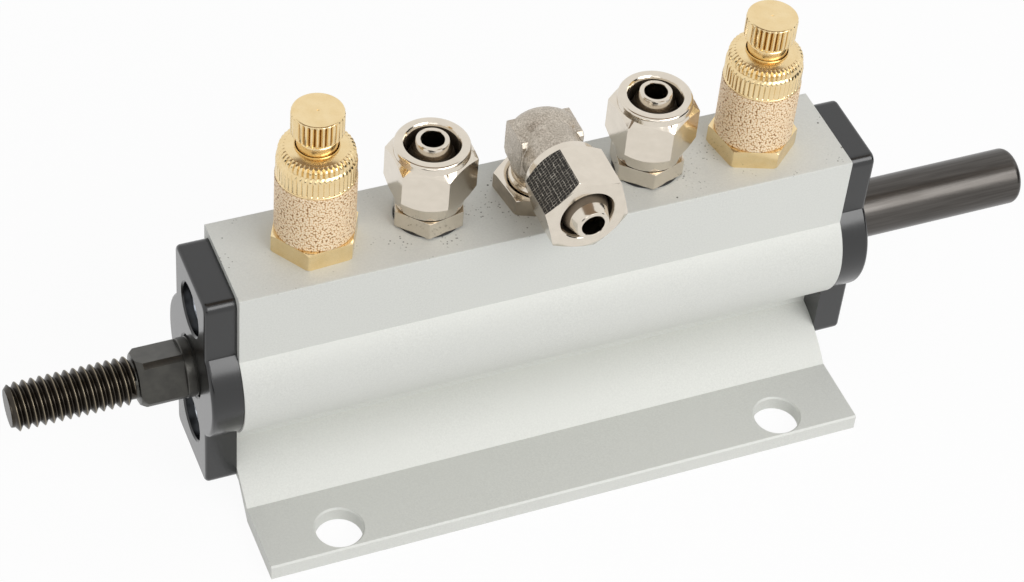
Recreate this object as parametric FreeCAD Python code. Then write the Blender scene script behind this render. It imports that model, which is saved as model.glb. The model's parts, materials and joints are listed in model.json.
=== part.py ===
import FreeCAD, Part
import math
import os

# Manual air control valve: five ported spool valve with a side mounting foot.
# Millimetres, +Z up. Origin: middle of the two foot holes, on the underside of the foot.
# The rod and the bore lie along X; the foot is in front, towards -Y.

# Body
axis_y = 22.0
axis_z = 25.8
top_above_axis = 22.2
body_width = 18.4
barrel_r = 12.4
bore_r = 8.3
port_pitch = 19.25
port_shift = 0.6
port_back = 0.7
end_room = 5.375
block_front = 3.3
block_bottom_z = 5.2
edge_break = 0.4

# Foot
foot_thick = 3.0
foot_front = 4.6
foot_bend_y = 8.5
web_top_z = 9.2
web_bulge = 0.8
web_slope = 47.0
foot_hole_spacing = 80.5
foot_hole_r = 4.0
foot_hole_chamfer = 0.28

# Ports
port_thread_r = 4.87
port_depth = 8.5
port_drill_r = 3.2
stub_long = 7.0
thread_fit = 0.04

# End caps, their face seals and screws
cap_thick = 5.3
cap_inset = 1.2
cap_drop = 1.2
cap_lobe_inset = 0.3
cap_bottom_z = 4.7
cap_corner_r = 1.6
cap_edge_r = 0.7
cap_rod_gap = 0.3
groove_wall = 0.4
groove_wide = 0.95
groove_deep = 0.9
screw_r = 2.0
screw_wall = 0.15
screw_rise = 1.4
screw_long = 12.0
screw_head_r = 4.1
screw_head_high = 1.7
screw_slot_deep = 1.3
screw_slot_wide = 1.0
counterbore_gap = 0.4
counterbore_deep = 3.1

# Spool rod: ground all along, with a narrow relief groove at the mouth of the right cap
rod_r = 5.0
relief_wide = 0.6
relief_deep = 0.3
relief_past_cap = 0.2
rod_flats = 8.0
rod_flats_turn = 21.5
stud_r = 4.0
stud_out = 35.6
stud_stop = 15.0
flats_start = 14.4
flats_stop = 7.1
tail_out = 40.0
tail_round = 1.3
flow_deep = 1.2
flow_long = 7.2
flow_from_seal = 0.4

# Seals, spacers, bushes and wipers in the bore
bore_gap = 0.05
seal_tube = (bore_r - rod_r) / 2.0 - bore_gap
seal_side_gap = 0.1
seal_wide = 2 * seal_tube + seal_side_gap
rod_gap = 0.06
cage_land = 2.2
cage_neck = 1.05
cage_rod_gap = 0.6
cage_hole_r = 1.9
wiper_wall = 2.0
wiper_deep = 2.0

# Silencers
silencer_hex = 13.0
silencer_hex_high = 3.5
silencer_hex_turns = (3.8, 40.0)
sleeve_r = 6.53
sleeve_wall = 1.93
sleeve_high = 11.0
ring_r = 6.47
ring_high = 6.25
ring_top_wall = 0.95
tube_r = 4.4
tube_wall = 1.0
seat_r = 2.0
window_r = 1.6
neck_gap = 0.06
neck_hole_gap = 0.26
knob_r = 4.22
knob_high = 4.8
knob_lift = 1.95
o_ring_r = 0.4
needle_r = 2.4
needle_long = 8.0

# Hose fittings and their union nuts
fitting_hex = 11.0
fitting_hex_high = 2.95
fitting_turns = (12.0, 18.5)
washer_r = 5.9
washer_thick = 0.35
nut_hex = 13.0
nut_turn = 32.0
nut_gap = 0.35
nut_long = 11.95
nut_skirt_r = 5.7
nut_skirt_high = 2.65
nut_cone_high = 3.95
nut_chamfer = 2.3
nut_rim_r = 6.2
nut_rim_high = 1.5
nut_rim_round = 0.6
nut_thread_r = 4.95
nut_thread_gap = 0.05
nut_thread_long = 5.0
nut_bore_r = 4.35
nut_mouth_r = 4.7
nut_mouth_deep = 0.5
hose_bore_r = 1.9
spigot_r = 2.3
barb_r = 4.0
tip_r = 2.74
barb_start = 4.6
barb_full = 4.0
barb_end = 3.7
tip_past_nut = 0.75

# Elbow fitting
elbow_hex = 13.0
elbow_hex_high = 3.2
elbow_hex_turn = 38.0
elbow_rise = 11.1
elbow_arm = 7.85
elbow_ball_r = 5.25
elbow_ball_side_r = 3.0
elbow_arm_r = 5.2
elbow_leg_r = 5.15
elbow_pads = 10.8
elbow_pad_front = 3.8
elbow_pad_back = 3.3
elbow_pad_high = 3.2
elbow_pad_low = 4.0
elbow_pad_corner = 0.7
elbow_drill_r = 2.1
elbow_nut_long = 10.75
elbow_nut_turn = 45.0
elbow_nut_skirt_r = 6.35
elbow_nut_skirt_high = 1.4
elbow_nut_cone = 0.9
elbow_nut_chamfer = 0.45
elbow_nut_face_r = 6.5
tip_past_elbow_nut = 2.3
stem_r = 4.75
collar_r = 5.2
collar_gap = 0.1
collar_deep = 1.8
pin_r = 3.54
pin_gap = 0.06
clip_thick = 0.6
clip_bite = 0.55
elbow_o_ring_r = 0.48

body_length = 5 * port_pitch + 2 * end_room
half = body_length / 2.0
top_z = axis_z + top_above_axis
port_y = axis_y + port_back
ports = [port_shift + port_pitch * k for k in (-2, -1, 0, 1, 2)]
seal_x = [ports[0] + port_pitch * (k - 0.5) for k in range(6)]
groove_in = bore_r + groove_wall
screw_down = groove_in + groove_wide + screw_wall + screw_r
screw_up = screw_down + screw_rise
stub_r = port_thread_r - thread_fit

V = FreeCAD.Vector
O = V(0, 0, 0)
X = V(1, 0, 0)
Y = V(0, 1, 0)
Z = V(0, 0, 1)


def cyl(r, start, along, length):
    return Part.makeCylinder(r, length, start, along)


def cone(r1, r2, start, along, length):
    return Part.makeCone(r1, r2, length, start, along)


def ring(r_out, r_in, start, along, length):
    return cyl(r_out, start, along, length).cut(cyl(r_in, start - along, along, length + 2))


def place(shape, start, along):
    # Carry a shape built on the Z axis to start, with Z turned onto along.
    moved = shape.copy()
    turn = FreeCAD.Placement(start, FreeCAD.Rotation(Z, along))
    moved.Placement = turn.multiply(shape.Placement)
    return moved


def lathe(points, start=O, along=Z):
    # Closed outline of (radius, distance) pairs turned about the axis through start.
    wire = Part.makePolygon([V(r, 0, d) for r, d in points + points[:1]])
    return place(Part.Face(wire).revolve(O, Z, 360), start, along)


def hexagon(flats, bottom, top, turn_deg):
    r = flats / math.sqrt(3.0)
    pts = []
    for k in range(7):
        a = math.radians(turn_deg + 60 * k)
        pts.append(V(r * math.cos(a), r * math.sin(a), bottom))
    return Part.Face(Part.makePolygon(pts)).extrude(V(0, 0, top - bottom))


def hex_base(flats, high, turn_deg):
    # Hexagon with its corners broken top and bottom.
    r = flats / math.sqrt(3.0)
    turned = lathe([(0, 0), (r - 0.25, 0), (r, 0.2), (r, high - 0.25), (r - 0.45, high), (0, high)])
    return hexagon(flats, 0, high, turn_deg).common(turned)


def save(name, shape):
    shape = shape.removeSplitter()
    if len(shape.Solids) != 1 or not shape.isValid():
        raise RuntimeError("bad solid: " + name)
    shape.Solids[0].exportStep("parts/" + name + ".step")


os.makedirs("parts", exist_ok=True)


# Valve body: top block, round barrel, lower block, curved web and foot drawn as one section
def body_section(x):
    front = axis_y - body_width / 2.0
    back = axis_y + body_width / 2.0
    rise = math.sqrt(barrel_r ** 2 - (body_width / 2.0) ** 2)
    low = math.sqrt(barrel_r ** 2 - block_front ** 2)
    c = edge_break
    wall_y = axis_y - block_front

    def p(y, z):
        return V(x, y, z)

    bend = p(foot_bend_y, foot_thick)
    web_top = p(wall_y, web_top_z)
    chord = web_top - bend
    normal = V(0, -chord.z, chord.y).normalize()
    web_mid = (bend + web_top) * 0.5 + normal * web_bulge
    under_y = foot_bend_y - 0.3
    under_top = p(under_y + block_bottom_z / math.tan(math.radians(web_slope)), block_bottom_z)
    lobe_low = p(wall_y, axis_z - low)
    lobe_high = p(front, axis_z + rise)
    back_high = p(back, axis_z + rise)
    back_low = p(back, axis_z - rise)
    items = [
        Part.makeLine(p(-foot_front, 0), p(-foot_front, foot_thick - 0.3)),
        Part.makeLine(p(-foot_front, foot_thick - 0.3), p(0.3 - foot_front, foot_thick)),
        Part.makeLine(p(0.3 - foot_front, foot_thick), bend),
        Part.Arc(bend, web_mid, web_top).toShape(),
        Part.makeLine(web_top, lobe_low),
        Part.Arc(lobe_low, p(axis_y - barrel_r, axis_z), lobe_high).toShape(),
        Part.makeLine(lobe_high, p(front, top_z - c)),
        Part.makeLine(p(front, top_z - c), p(front + c, top_z)),
        Part.makeLine(p(front + c, top_z), p(back - c, top_z)),
        Part.makeLine(p(back - c, top_z), p(back, top_z - c)),
        Part.makeLine(p(back, top_z - c), back_high),
        Part.Arc(back_high, p(axis_y + barrel_r, axis_z), back_low).toShape(),
        Part.makeLine(back_low, p(back, block_bottom_z + c)),
        Part.makeLine(p(back, block_bottom_z + c), p(back - c, block_bottom_z)),
        Part.makeLine(p(back - c, block_bottom_z), under_top),
        Part.makeLine(under_top, p(under_y, 0)),
        Part.makeLine(p(under_y, 0), p(-foot_front, 0)),
    ]
    return Part.Face(Part.Wire(items))


body = body_section(-half).extrude(V(body_length, 0, 0))
body = body.cut(cyl(bore_r, V(-half - 1, axis_y, axis_z), X, body_length + 2))
for px in ports:
    mouth = V(px, port_y, top_z)
    body = body.cut(cyl(port_thread_r, mouth - Z * port_depth, Z, port_depth + 1))
    body = body.cut(cone(port_thread_r, port_thread_r + 0.4, mouth - Z * 0.4, Z, 0.4))
    body = body.cut(cyl(port_drill_r, V(px, port_y, axis_z), Z, top_above_axis - 1))
for s in (-1, 1):
    face = V(s * half, axis_y, axis_z)
    inward = X * (-s)
    body = body.cut(ring(groove_in + groove_wide, groove_in, face, inward, groove_deep))
    for dz in (screw_up, -screw_down):
        body = body.cut(cyl(screw_r + thread_fit, face + Z * dz, inward, screw_long + 2))
    hole = V(s * foot_hole_spacing / 2.0, 0, 0)
    body = body.cut(cyl(foot_hole_r, hole - Z, Z, foot_thick + 2))
    wide = foot_hole_r + foot_hole_chamfer
    body = body.cut(cone(wide, foot_hole_r, hole, Z, foot_hole_chamfer))
    rim = hole + Z * (foot_thick - foot_hole_chamfer)
    body = body.cut(cone(foot_hole_r, wide, rim, Z, foot_hole_chamfer))
save("valve_body", body)


# End caps: rectangle with a round lobe to each side, the outer rim rounded
def end_cap(s):
    w = body_width / 2.0 - cap_inset
    inner = min(s * half, s * (half + cap_thick))
    high = top_z - cap_drop - cap_bottom_z
    block = Part.makeBox(cap_thick, 2 * w, high, V(inner, axis_y - w, cap_bottom_z))
    corners = [e for e in block.Edges if abs(e.Vertexes[0].X - e.Vertexes[-1].X) > 1]
    block = block.makeFillet(cap_corner_r, corners)
    lobe = cyl(barrel_r - cap_lobe_inset, V(inner, axis_y, axis_z), X, cap_thick)
    shape = block.fuse(lobe).removeSplitter()
    outer_x = s * (half + cap_thick)
    rim = [e for e in shape.Edges if all(abs(v.X - outer_x) < 1e-6 for v in e.Vertexes)]
    shape = shape.makeFillet(cap_edge_r, rim)
    face = V(s * half, axis_y, axis_z)
    out = X * s
    shape = shape.cut(cyl(rod_r + cap_rod_gap, face - out, out, cap_thick + 2))
    bore = screw_head_r + counterbore_gap
    for dz in (screw_up, -screw_down):
        at = face + Z * dz
        shape = shape.cut(cyl(screw_r + 0.25, at - out, out, cap_thick + 2))
        shape = shape.cut(cyl(bore, at + out * (cap_thick - counterbore_deep), out, counterbore_deep + 1))
        shape = shape.cut(cone(bore, bore + 0.3, at + out * (cap_thick - 0.3), out, 0.3))
    return shape


# Cap screws: domed head with a cross recess
def cap_screw(s, dz):
    at = V(s * (half + cap_thick - counterbore_deep), axis_y, axis_z + dz)
    r = screw_head_r
    h = screw_head_high
    long = cap_thick - counterbore_deep + screw_long
    shape = lathe([(0, -long), (screw_r - 0.5, -long), (screw_r, -long + 0.5), (screw_r, 0), (r, 0),
                   (r, h - 1.2), (r - 0.35, h - 0.5), (r - 1.4, h), (0, h)])
    for turn in (45, 135):
        w = screw_slot_wide
        slot = Part.makeBox(w, 1.1 * r, h, V(-w / 2, -0.55 * r, h - screw_slot_deep))
        slot.rotate(O, Z, turn)
        shape = shape.cut(slot)
    return place(shape, at, X * s)


for s, side in ((-1, "left"), (1, "right")):
    save("end_cap_" + side, end_cap(s))
    tube = groove_wide / 2.0 - 0.03
    middle = V(s * (half - tube - 0.01), axis_y, axis_z)
    save("cap_seal_" + side, Part.makeTorus(groove_in + groove_wide / 2.0, tube, middle, X))
    save("cap_screw_" + side + "_upper", cap_screw(s, screw_up))
    save("cap_screw_" + side + "_lower", cap_screw(s, -screw_down))

# Bore seals between perforated spacers
for k, sx in enumerate(seal_x):
    middle = V(sx, axis_y, axis_z)
    save("bore_seal_" + str(k + 1), Part.makeTorus((bore_r + rod_r) / 2.0, seal_tube, middle, X))

cage_long = port_pitch - seal_wide
for k, px in enumerate(ports):
    outer = bore_r - bore_gap
    inner = rod_r + cage_rod_gap
    neck = outer - cage_neck
    land = cage_land
    slope = cage_land + 0.6
    shape = lathe([(inner, 0), (outer, 0), (outer, land), (neck, slope), (neck, cage_long - slope),
                   (outer, cage_long - land), (outer, cage_long), (inner, cage_long)],
                  V(px - cage_long / 2.0, axis_y, axis_z), X)
    for j in range(4):
        a = math.radians(45 * j)
        spoke = V(0, math.cos(a), math.sin(a))
        shape = shape.cut(cyl(cage_hole_r, V(px, axis_y, axis_z) - spoke * 2 * bore_r, spoke, 4 * bore_r))
    save("spacer_cage_" + str(k + 1), shape)

# End bushes with a rod wiper in each
for s, side, sx in ((-1, "left", seal_x[0]), (1, "right", seal_x[5])):
    face = V(s * half, axis_y, axis_z)
    long = half - abs(sx) - seal_wide / 2.0
    deep = min(wiper_deep, long - 1.0)
    pocket = rod_r + wiper_wall
    guide = rod_r + rod_gap
    outer = bore_r - bore_gap
    bush = lathe([(guide, deep), (pocket, deep), (pocket, 0), (outer, 0), (outer, long), (guide, long)],
                 face, X * (-s))
    save("end_bush_" + side, bush)
    lip = rod_r + bore_gap
    wiper = lathe([(lip, 0.6 * deep), (lip + 0.5, 0.1), (pocket - 0.05, 0.1), (pocket - 0.05, deep - 0.05),
                   (lip + 0.5, deep - 0.05)], face, X * (-s))
    save("rod_wiper_" + side, wiper)

# Spool rod: stud, square flats, ground rod with three flow grooves, plain tail
tip = V(-half - stud_out, axis_y, axis_z)
stud = lathe([(0, 0), (stud_r - 0.8, 0), (stud_r, 0.8), (stud_r, stud_out - stud_stop), (0, stud_out - stud_stop)],
             tip, X)
f = rod_flats / 2.0
flats_long = stud_stop - flats_stop + 0.2
square = Part.makeBox(flats_long, 2 * f, 2 * f, V(-half - stud_stop, axis_y - f, axis_z - f))
square.rotate(V(0, axis_y, axis_z), X, -rod_flats_turn)
square = square.common(lathe([(0, 0), (stud_r, 0), (rod_r, stud_stop - flats_start), (rod_r, flats_long),
                              (0, flats_long)], V(-half - stud_stop, axis_y, axis_z), X))
rod_long = flats_stop + body_length + tail_out
t = tail_round
rod = lathe([(0, 0), (rod_r - 0.2, 0), (rod_r, 0.2), (rod_r, rod_long - t), (rod_r - 0.13 * t, rod_long - t / 2),
             (rod_r - t / 2, rod_long - 0.13 * t), (rod_r - t, rod_long), (0, rod_long)],
            V(-half - flats_stop, axis_y, axis_z), X)
relief_x = half + cap_thick + relief_past_cap - relief_wide
rod = rod.cut(ring(rod_r + 1, rod_r - relief_deep, V(relief_x, axis_y, axis_z), X, relief_wide))


def flow_groove(x1, x2):
    slope = flow_deep / 2.0
    low = rod_r - flow_deep
    return lathe([(rod_r + 1, 0), (rod_r, 0), (low, slope), (low, x2 - x1 - slope), (rod_r, x2 - x1),
                  (rod_r + 1, x2 - x1)], V(x1, axis_y, axis_z), X)


away = seal_wide / 2.0 + flow_from_seal
rod = rod.cut(flow_groove(seal_x[1] - away - flow_long, seal_x[1] - away))
rod = rod.cut(flow_groove(seal_x[2] + away, seal_x[3] - away))
rod = rod.cut(flow_groove(seal_x[4] + away, seal_x[4] + away + flow_long))
save("spool_rod", rod.fuse([square, stud]))


# Exhaust silencers: base with a tube, sintered sleeve, clamping ring and adjusting screw
def silencer(px, side, turn):
    at = V(px, port_y, top_z)

    def put(name, shape):
        shape.translate(at)
        save("silencer_" + side + "_" + name, shape)

    sleeve_top = silencer_hex_high + sleeve_high
    ring_top = sleeve_top + ring_high
    tube_top = ring_top - ring_top_wall
    tube_in = tube_r - tube_wall
    neck = tube_in - neck_gap
    seat = silencer_hex_high + 2.5
    base = hex_base(silencer_hex, silencer_hex_high, turn)
    base = base.fuse(cyl(stub_r, O - Z * stub_long, Z, stub_long))
    base = base.fuse(cyl(tube_r, Z * (silencer_hex_high - 1), Z, tube_top - 0.1 - silencer_hex_high + 1))
    base = base.cut(cyl(seat_r, O - Z * (stub_long + 1), Z, stub_long + 1 + seat + 1))
    base = base.cut(cyl(tube_in, Z * seat, Z, tube_top))
    for a in (0, 90):
        d = V(math.cos(math.radians(a)), math.sin(math.radians(a)), 0)
        base = base.cut(cyl(window_r, d * (-2 * tube_r) + Z * (seat + 2.2), d, 4 * tube_r))
    put("base", base)
    put("sleeve", ring(sleeve_r, sleeve_r - sleeve_wall, Z * silencer_hex_high, Z, sleeve_high))
    hole = neck + neck_hole_gap
    clamp = tube_r + 0.05
    put("ring", lathe([(clamp, sleeve_top), (ring_r - 0.37, sleeve_top), (ring_r, sleeve_top + 0.35),
                       (ring_r, sleeve_top + 0.56 * ring_high), (ring_r - 0.37, sleeve_top + 0.7 * ring_high),
                       (ring_r - 0.87, ring_top - 0.45), (hole + 0.6, ring_top), (hole, ring_top),
                       (hole, tube_top), (clamp, tube_top)]))
    knob = ring_top + knob_lift
    top = knob + knob_high
    seal_z = tube_top - 2.2
    root = neck - 2 * o_ring_r + 0.01
    shoulder = seat + needle_long
    put("screw", lathe([(0, seat + 0.2), (seat_r - 1.0, seat + 0.2), (needle_r, seat + 3.0), (needle_r, shoulder),
                        (neck, shoulder + 0.4), (neck, seal_z - 0.65), (root, seal_z - 0.65),
                        (root, seal_z + 0.65), (neck, seal_z + 0.65), (neck, knob - 1.2), (neck - 0.34, knob - 1.1),
                        (neck - 0.34, knob - 0.7), (neck, knob - 0.6), (neck, knob), (knob_r - 0.27, knob),
                        (knob_r, knob + 0.3), (knob_r, top - 0.3), (knob_r - 0.3, top), (0, top)]))
    put("seal", Part.makeTorus(neck + 0.04 - o_ring_r, o_ring_r, Z * seal_z, Z))


silencer(ports[0], "left", silencer_hex_turns[0])
silencer(ports[4], "right", silencer_hex_turns[1])


# Union nut standing on z0, mouth upwards; outside lists its outer profile from the skirt to the face
def union_nut(z0, turn, outside):
    top = outside[-1][1]
    inside = nut_thread_r + nut_thread_gap
    shelf = z0 + nut_thread_long
    turned = lathe([(inside, z0)] + outside + [(nut_mouth_r, top), (nut_bore_r, top - nut_mouth_deep), (nut_bore_r, shelf),
                                               (inside, shelf)])
    return hexagon(nut_hex, z0, top, turn).common(turned)


# Outside of the straight fittings' nuts: long skirt, round rim at the mouth
def skirted_outside(z0):
    r = nut_hex / math.sqrt(3.0)
    top = z0 + nut_long
    return [(nut_skirt_r, z0), (nut_skirt_r + 0.5, z0 + nut_skirt_high), (r, z0 + nut_cone_high),
            (r, top - nut_chamfer), (nut_rim_r, top - nut_rim_high), (nut_rim_r - 0.02, top - nut_rim_round),
            (nut_rim_r - 0.3 * nut_rim_round, top - 0.3 * nut_rim_round), (nut_rim_r - nut_rim_round, top)]


# Outside of the elbow's nut: short collar at the back, hexagon right up to the mouth
def collared_outside(z0):
    r = nut_hex / math.sqrt(3.0)
    top = z0 + elbow_nut_long
    return [(elbow_nut_skirt_r - 0.2, z0), (elbow_nut_skirt_r, z0 + 0.2), (elbow_nut_skirt_r, z0 + elbow_nut_skirt_high),
            (r, z0 + elbow_nut_skirt_high + elbow_nut_cone), (r, top - elbow_nut_chamfer), (elbow_nut_face_r, top)]


# Threaded nose and barbed hose tail; z0 is where the nut starts and tip is the end of the tail
def hose_tail(start, z0, tip):
    shelf = z0 + nut_thread_long - 0.3
    return lathe([(0, start), (nut_thread_r, start), (nut_thread_r, shelf - 0.5), (nut_thread_r - 0.5, shelf),
                  (spigot_r, shelf), (spigot_r, tip - barb_start), (barb_r, tip - barb_full), (barb_r, tip - barb_end),
                  (tip_r, tip - 0.2), (tip_r - 0.15, tip), (0, tip)])


# Straight hose fittings
def hose_fitting(px, side, turn):
    at = V(px, port_y, top_z)

    def put(name, shape):
        shape.translate(at)
        save("hose_fitting_" + side + "_" + name, shape)

    hex_top = washer_thick + fitting_hex_high
    z0 = hex_top + nut_gap
    put("seal", ring(washer_r, port_thread_r + 0.1, O, Z, washer_thick))
    shape = hexagon(fitting_hex, washer_thick, hex_top, turn)
    shape = shape.fuse(cyl(stub_r, O - Z * stub_long, Z, stub_long + washer_thick + 0.5))
    tip = z0 + nut_long + tip_past_nut
    shape = shape.fuse(hose_tail(hex_top - 1, z0, tip))
    shape = shape.cut(cyl(hose_bore_r, O - Z * (stub_long + 1), Z, stub_long + tip + 2))
    put("body", shape)
    put("nut", union_nut(z0, nut_turn, skirted_outside(z0)))


hose_fitting(ports[1], "left", fitting_turns[0])
hose_fitting(ports[3], "right", fitting_turns[1])


# Elbow hose fitting: fixed base, turning forged elbow, union nut facing the front
def elbow(px):
    at = V(px, port_y, top_z)
    front = V(0, -1, 0)
    lift = Z * elbow_rise

    def put(name, shape):
        shape.translate(at)
        save("elbow_" + name, shape)

    top = elbow_hex_high
    floor = top - collar_deep
    hole = pin_r + pin_gap
    clip_z = floor - 3.4
    clip_r = hole + clip_bite
    base = hex_base(elbow_hex, top, elbow_hex_turn)
    base = base.fuse(cyl(stub_r, O - Z * stub_long, Z, stub_long))
    recess = collar_r + collar_gap
    base = base.cut(lathe([(0, -stub_long - 1), (2.4, -stub_long - 1), (2.4, clip_z - 1.1), (hole, clip_z - 1.1),
                           (hole, clip_z - 0.4), (clip_r + 0.05, clip_z - 0.4), (clip_r + 0.05, clip_z + 0.3),
                           (hole, clip_z + 0.3), (hole, floor), (recess, floor), (recess, top - 0.4),
                           (recess + 0.45, top), (recess + 0.45, top + 1), (0, top + 1)]))
    put("base", base)
    pin_root = pin_r - 0.54
    put("clip", ring(clip_r, pin_root + 0.05, Z * (clip_z - clip_thick / 2.0 - 0.05), Z, clip_thick))
    seal_z = floor - 1.75
    put("seal", Part.makeTorus(pin_r - elbow_o_ring_r + 0.02, elbow_o_ring_r, Z * seal_z, Z))

    g = elbow_o_ring_r + 0.12
    seal_root = pin_r - 2 * elbow_o_ring_r - 0.01
    stem = lathe([(0, clip_z - 1.0), (pin_r, clip_z - 1.0), (pin_r, clip_z - 0.45), (pin_root, clip_z - 0.45),
                  (pin_root, clip_z + 0.35), (pin_r, clip_z + 0.35), (pin_r, seal_z - g), (seal_root, seal_z - g),
                  (seal_root, seal_z + g), (pin_r, seal_z + g), (pin_r, floor + 0.05), (collar_r, floor + 0.05),
                  (collar_r, top + 0.4), (stem_r, top + 0.8), (stem_r, top + 2.0), (elbow_leg_r, top + 3.0),
                  (elbow_leg_r, elbow_rise), (0, elbow_rise)])
    side = elbow_pads / 2.0
    drop = elbow_ball_r - elbow_ball_side_r
    swell = (side ** 2 + drop ** 2) / (2 * drop)
    rounded = [(math.sqrt(swell ** 2 - (side * k / 5.0) ** 2) - swell + elbow_ball_r, side * k / 5.0)
               for k in range(-5, 6)]
    ball = lathe([(0, -side)] + rounded + [(0, side)], lift, X)
    lying = cyl(elbow_arm_r, lift, front, elbow_arm - 0.35)
    deep = elbow_pad_back + elbow_pad_front
    tall = elbow_pad_high + elbow_pad_low
    corner = lift + V(-elbow_pads / 2.0, -elbow_pad_front, -elbow_pad_low)
    pads = Part.makeBox(elbow_pads, deep, tall, corner)
    long_edges = [e for e in pads.Edges if abs(e.Vertexes[0].X - e.Vertexes[-1].X) > 1]
    pads = pads.makeChamfer(elbow_pad_corner, long_edges)
    z0 = elbow_arm
    nose = place(hose_tail(2.5, z0, z0 + elbow_nut_long + tip_past_elbow_nut), lift, front)
    turning = stem.fuse([ball, lying, pads, nose])
    turning = turning.cut(cyl(elbow_drill_r, Z * (clip_z - 2), Z, elbow_rise - clip_z + 2 + elbow_drill_r + 0.3))
    reach = z0 + elbow_nut_long + tip_past_elbow_nut + 2
    turning = turning.cut(cyl(hose_bore_r, lift + Y * 0.5, front, reach))
    put("body", turning)
    nut = union_nut(z0, 0, collared_outside(z0))
    nut.rotate(O, X, 90)
    nut.rotate(O, Y, -elbow_nut_turn)
    nut.translate(lift)
    put("nut", nut)


elbow(ports[2])
print("parts written")
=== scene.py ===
import json
import math

import bmesh
import bpy
from mathutils import Matrix, Vector, noise


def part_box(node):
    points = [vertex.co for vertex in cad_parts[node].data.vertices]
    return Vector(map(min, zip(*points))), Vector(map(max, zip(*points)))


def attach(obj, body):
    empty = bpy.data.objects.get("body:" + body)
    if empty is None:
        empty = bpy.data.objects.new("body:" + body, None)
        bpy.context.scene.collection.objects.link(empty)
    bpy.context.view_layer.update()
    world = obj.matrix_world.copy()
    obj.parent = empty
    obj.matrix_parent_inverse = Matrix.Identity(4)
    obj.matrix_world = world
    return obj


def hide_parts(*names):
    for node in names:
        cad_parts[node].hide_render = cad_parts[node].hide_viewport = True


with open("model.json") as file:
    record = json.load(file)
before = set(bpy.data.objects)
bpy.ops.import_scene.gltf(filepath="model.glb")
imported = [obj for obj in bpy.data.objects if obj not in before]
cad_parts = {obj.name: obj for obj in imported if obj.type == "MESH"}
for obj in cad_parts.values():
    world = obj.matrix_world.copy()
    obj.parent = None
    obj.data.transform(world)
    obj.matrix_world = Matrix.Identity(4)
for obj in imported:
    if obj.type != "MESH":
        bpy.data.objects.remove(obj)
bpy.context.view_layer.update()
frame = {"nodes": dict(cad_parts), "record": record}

# Manual air control valve: aluminium spool valve with a side foot, brass silencers and
# nickel plated hose fittings. Pieces are modelled in millimetres and placed in metres.
MM = 0.001

# Directions
UP = Vector((0, 0, 1))
FRONT = Vector((0, -1, 0))
RIGHT = Vector((1, 0, 0))

# Places read from the frame
BODY_LOW, BODY_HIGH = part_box("valve_body")
ROD_LOW, ROD_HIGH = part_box("spool_rod")
AXIS_Y = 0.5 * (ROD_LOW.y + ROD_HIGH.y)
AXIS_Z = 0.5 * (ROD_LOW.z + ROD_HIGH.z)
ROD_START = Vector((ROD_LOW.x, AXIS_Y, AXIS_Z))
TOP = BODY_HIGH.z

# Sizes that several pieces share, in millimetres
FOOT_THICK = 3.0
STUD_LONG, STUD_R = 20.9, 4.0
NUT_FLATS = 13.0
NUT_CORNER_R = NUT_FLATS / math.sqrt(3)
FITTING_FLATS = 11.0


def middle_of(node):
    """Middle of a node's box."""
    low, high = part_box(node)
    return 0.5 * (low + high)


def over_port(node):
    """The point on the top of the body at the middle of an upright piece."""
    middle = middle_of(node)
    return Vector((middle.x, middle.y, TOP))


def heights(node):
    """Lowest and highest point of a node above the top of the body, in millimetres."""
    low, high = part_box(node)
    return (low.z - TOP) / MM, (high.z - TOP) / MM


def mount_sizes(name):
    """Sizes that the record gives for a mount, in millimetres."""
    return next(mount["dims"] for mount in frame["record"]["mounts"] if mount["name"] == name)


# Shape tools


def turned(profile, steps=96, closed=False):
    """Piece turned about Z from (radius, height) points in millimetres."""
    bm = bmesh.new()
    points = [bm.verts.new((r, 0, z)) for r, z in profile]
    pairs = list(zip(points, points[1:]))
    if closed:
        pairs.append((points[-1], points[0]))
    edges = [bm.edges.new(pair) for pair in pairs]
    bmesh.ops.spin(bm, geom=points + edges, cent=(0, 0, 0), axis=UP, dvec=(0, 0, 0),
                   angle=2 * math.pi, steps=steps, use_merge=True, use_duplicate=False)
    bmesh.ops.remove_doubles(bm, verts=bm.verts, dist=1e-4)
    return bm


def prism(outline, low, high):
    """Straight block from (x, y) points in millimetres."""
    bm = bmesh.new()
    face = bm.faces.new([bm.verts.new((x, y, low)) for x, y in outline])
    grown = bmesh.ops.extrude_face_region(bm, geom=[face])
    tops = [g for g in grown["geom"] if isinstance(g, bmesh.types.BMVert)]
    bmesh.ops.translate(bm, verts=tops, vec=(0, 0, high - low))
    return bm


def arc(centre, radius, start, stop, steps):
    """Points along an arc, angles in degrees."""
    cx, cy = centre
    turns = [math.radians(start + (stop - start) * k / steps) for k in range(steps + 1)]
    return [(cx + radius * math.cos(t), cy + radius * math.sin(t)) for t in turns]


def plane_cut(bm, point, normal, fill=True):
    """Cuts away what lies beyond a plane and closes the cut."""
    whole = bm.verts[:] + bm.edges[:] + bm.faces[:]
    cut = bmesh.ops.bisect_plane(bm, geom=whole, dist=1e-5, plane_co=point, plane_no=normal,
                                 clear_outer=True)
    rim = [g for g in cut["geom_cut"] if isinstance(g, bmesh.types.BMEdge)]
    if fill and rim:
        bmesh.ops.holes_fill(bm, edges=rim, sides=0)


def cut_flats(bm, count, across, turn):
    """Wrench flats cut all round a turned blank, at a size across flats."""
    for k in range(count):
        angle = math.radians(turn + 360 * k / count)
        side = Vector((math.cos(angle), math.sin(angle), 0))
        plane_cut(bm, side * across / 2, side)


def from_axis(point):
    """Distance of a point from the Z axis."""
    return math.hypot(point.x, point.y)


def set_radius(vert, radius):
    """Moves a vertex straight in or out to a distance from the Z axis."""
    share = radius / from_axis(vert.co)
    vert.co.x *= share
    vert.co.y *= share


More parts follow.
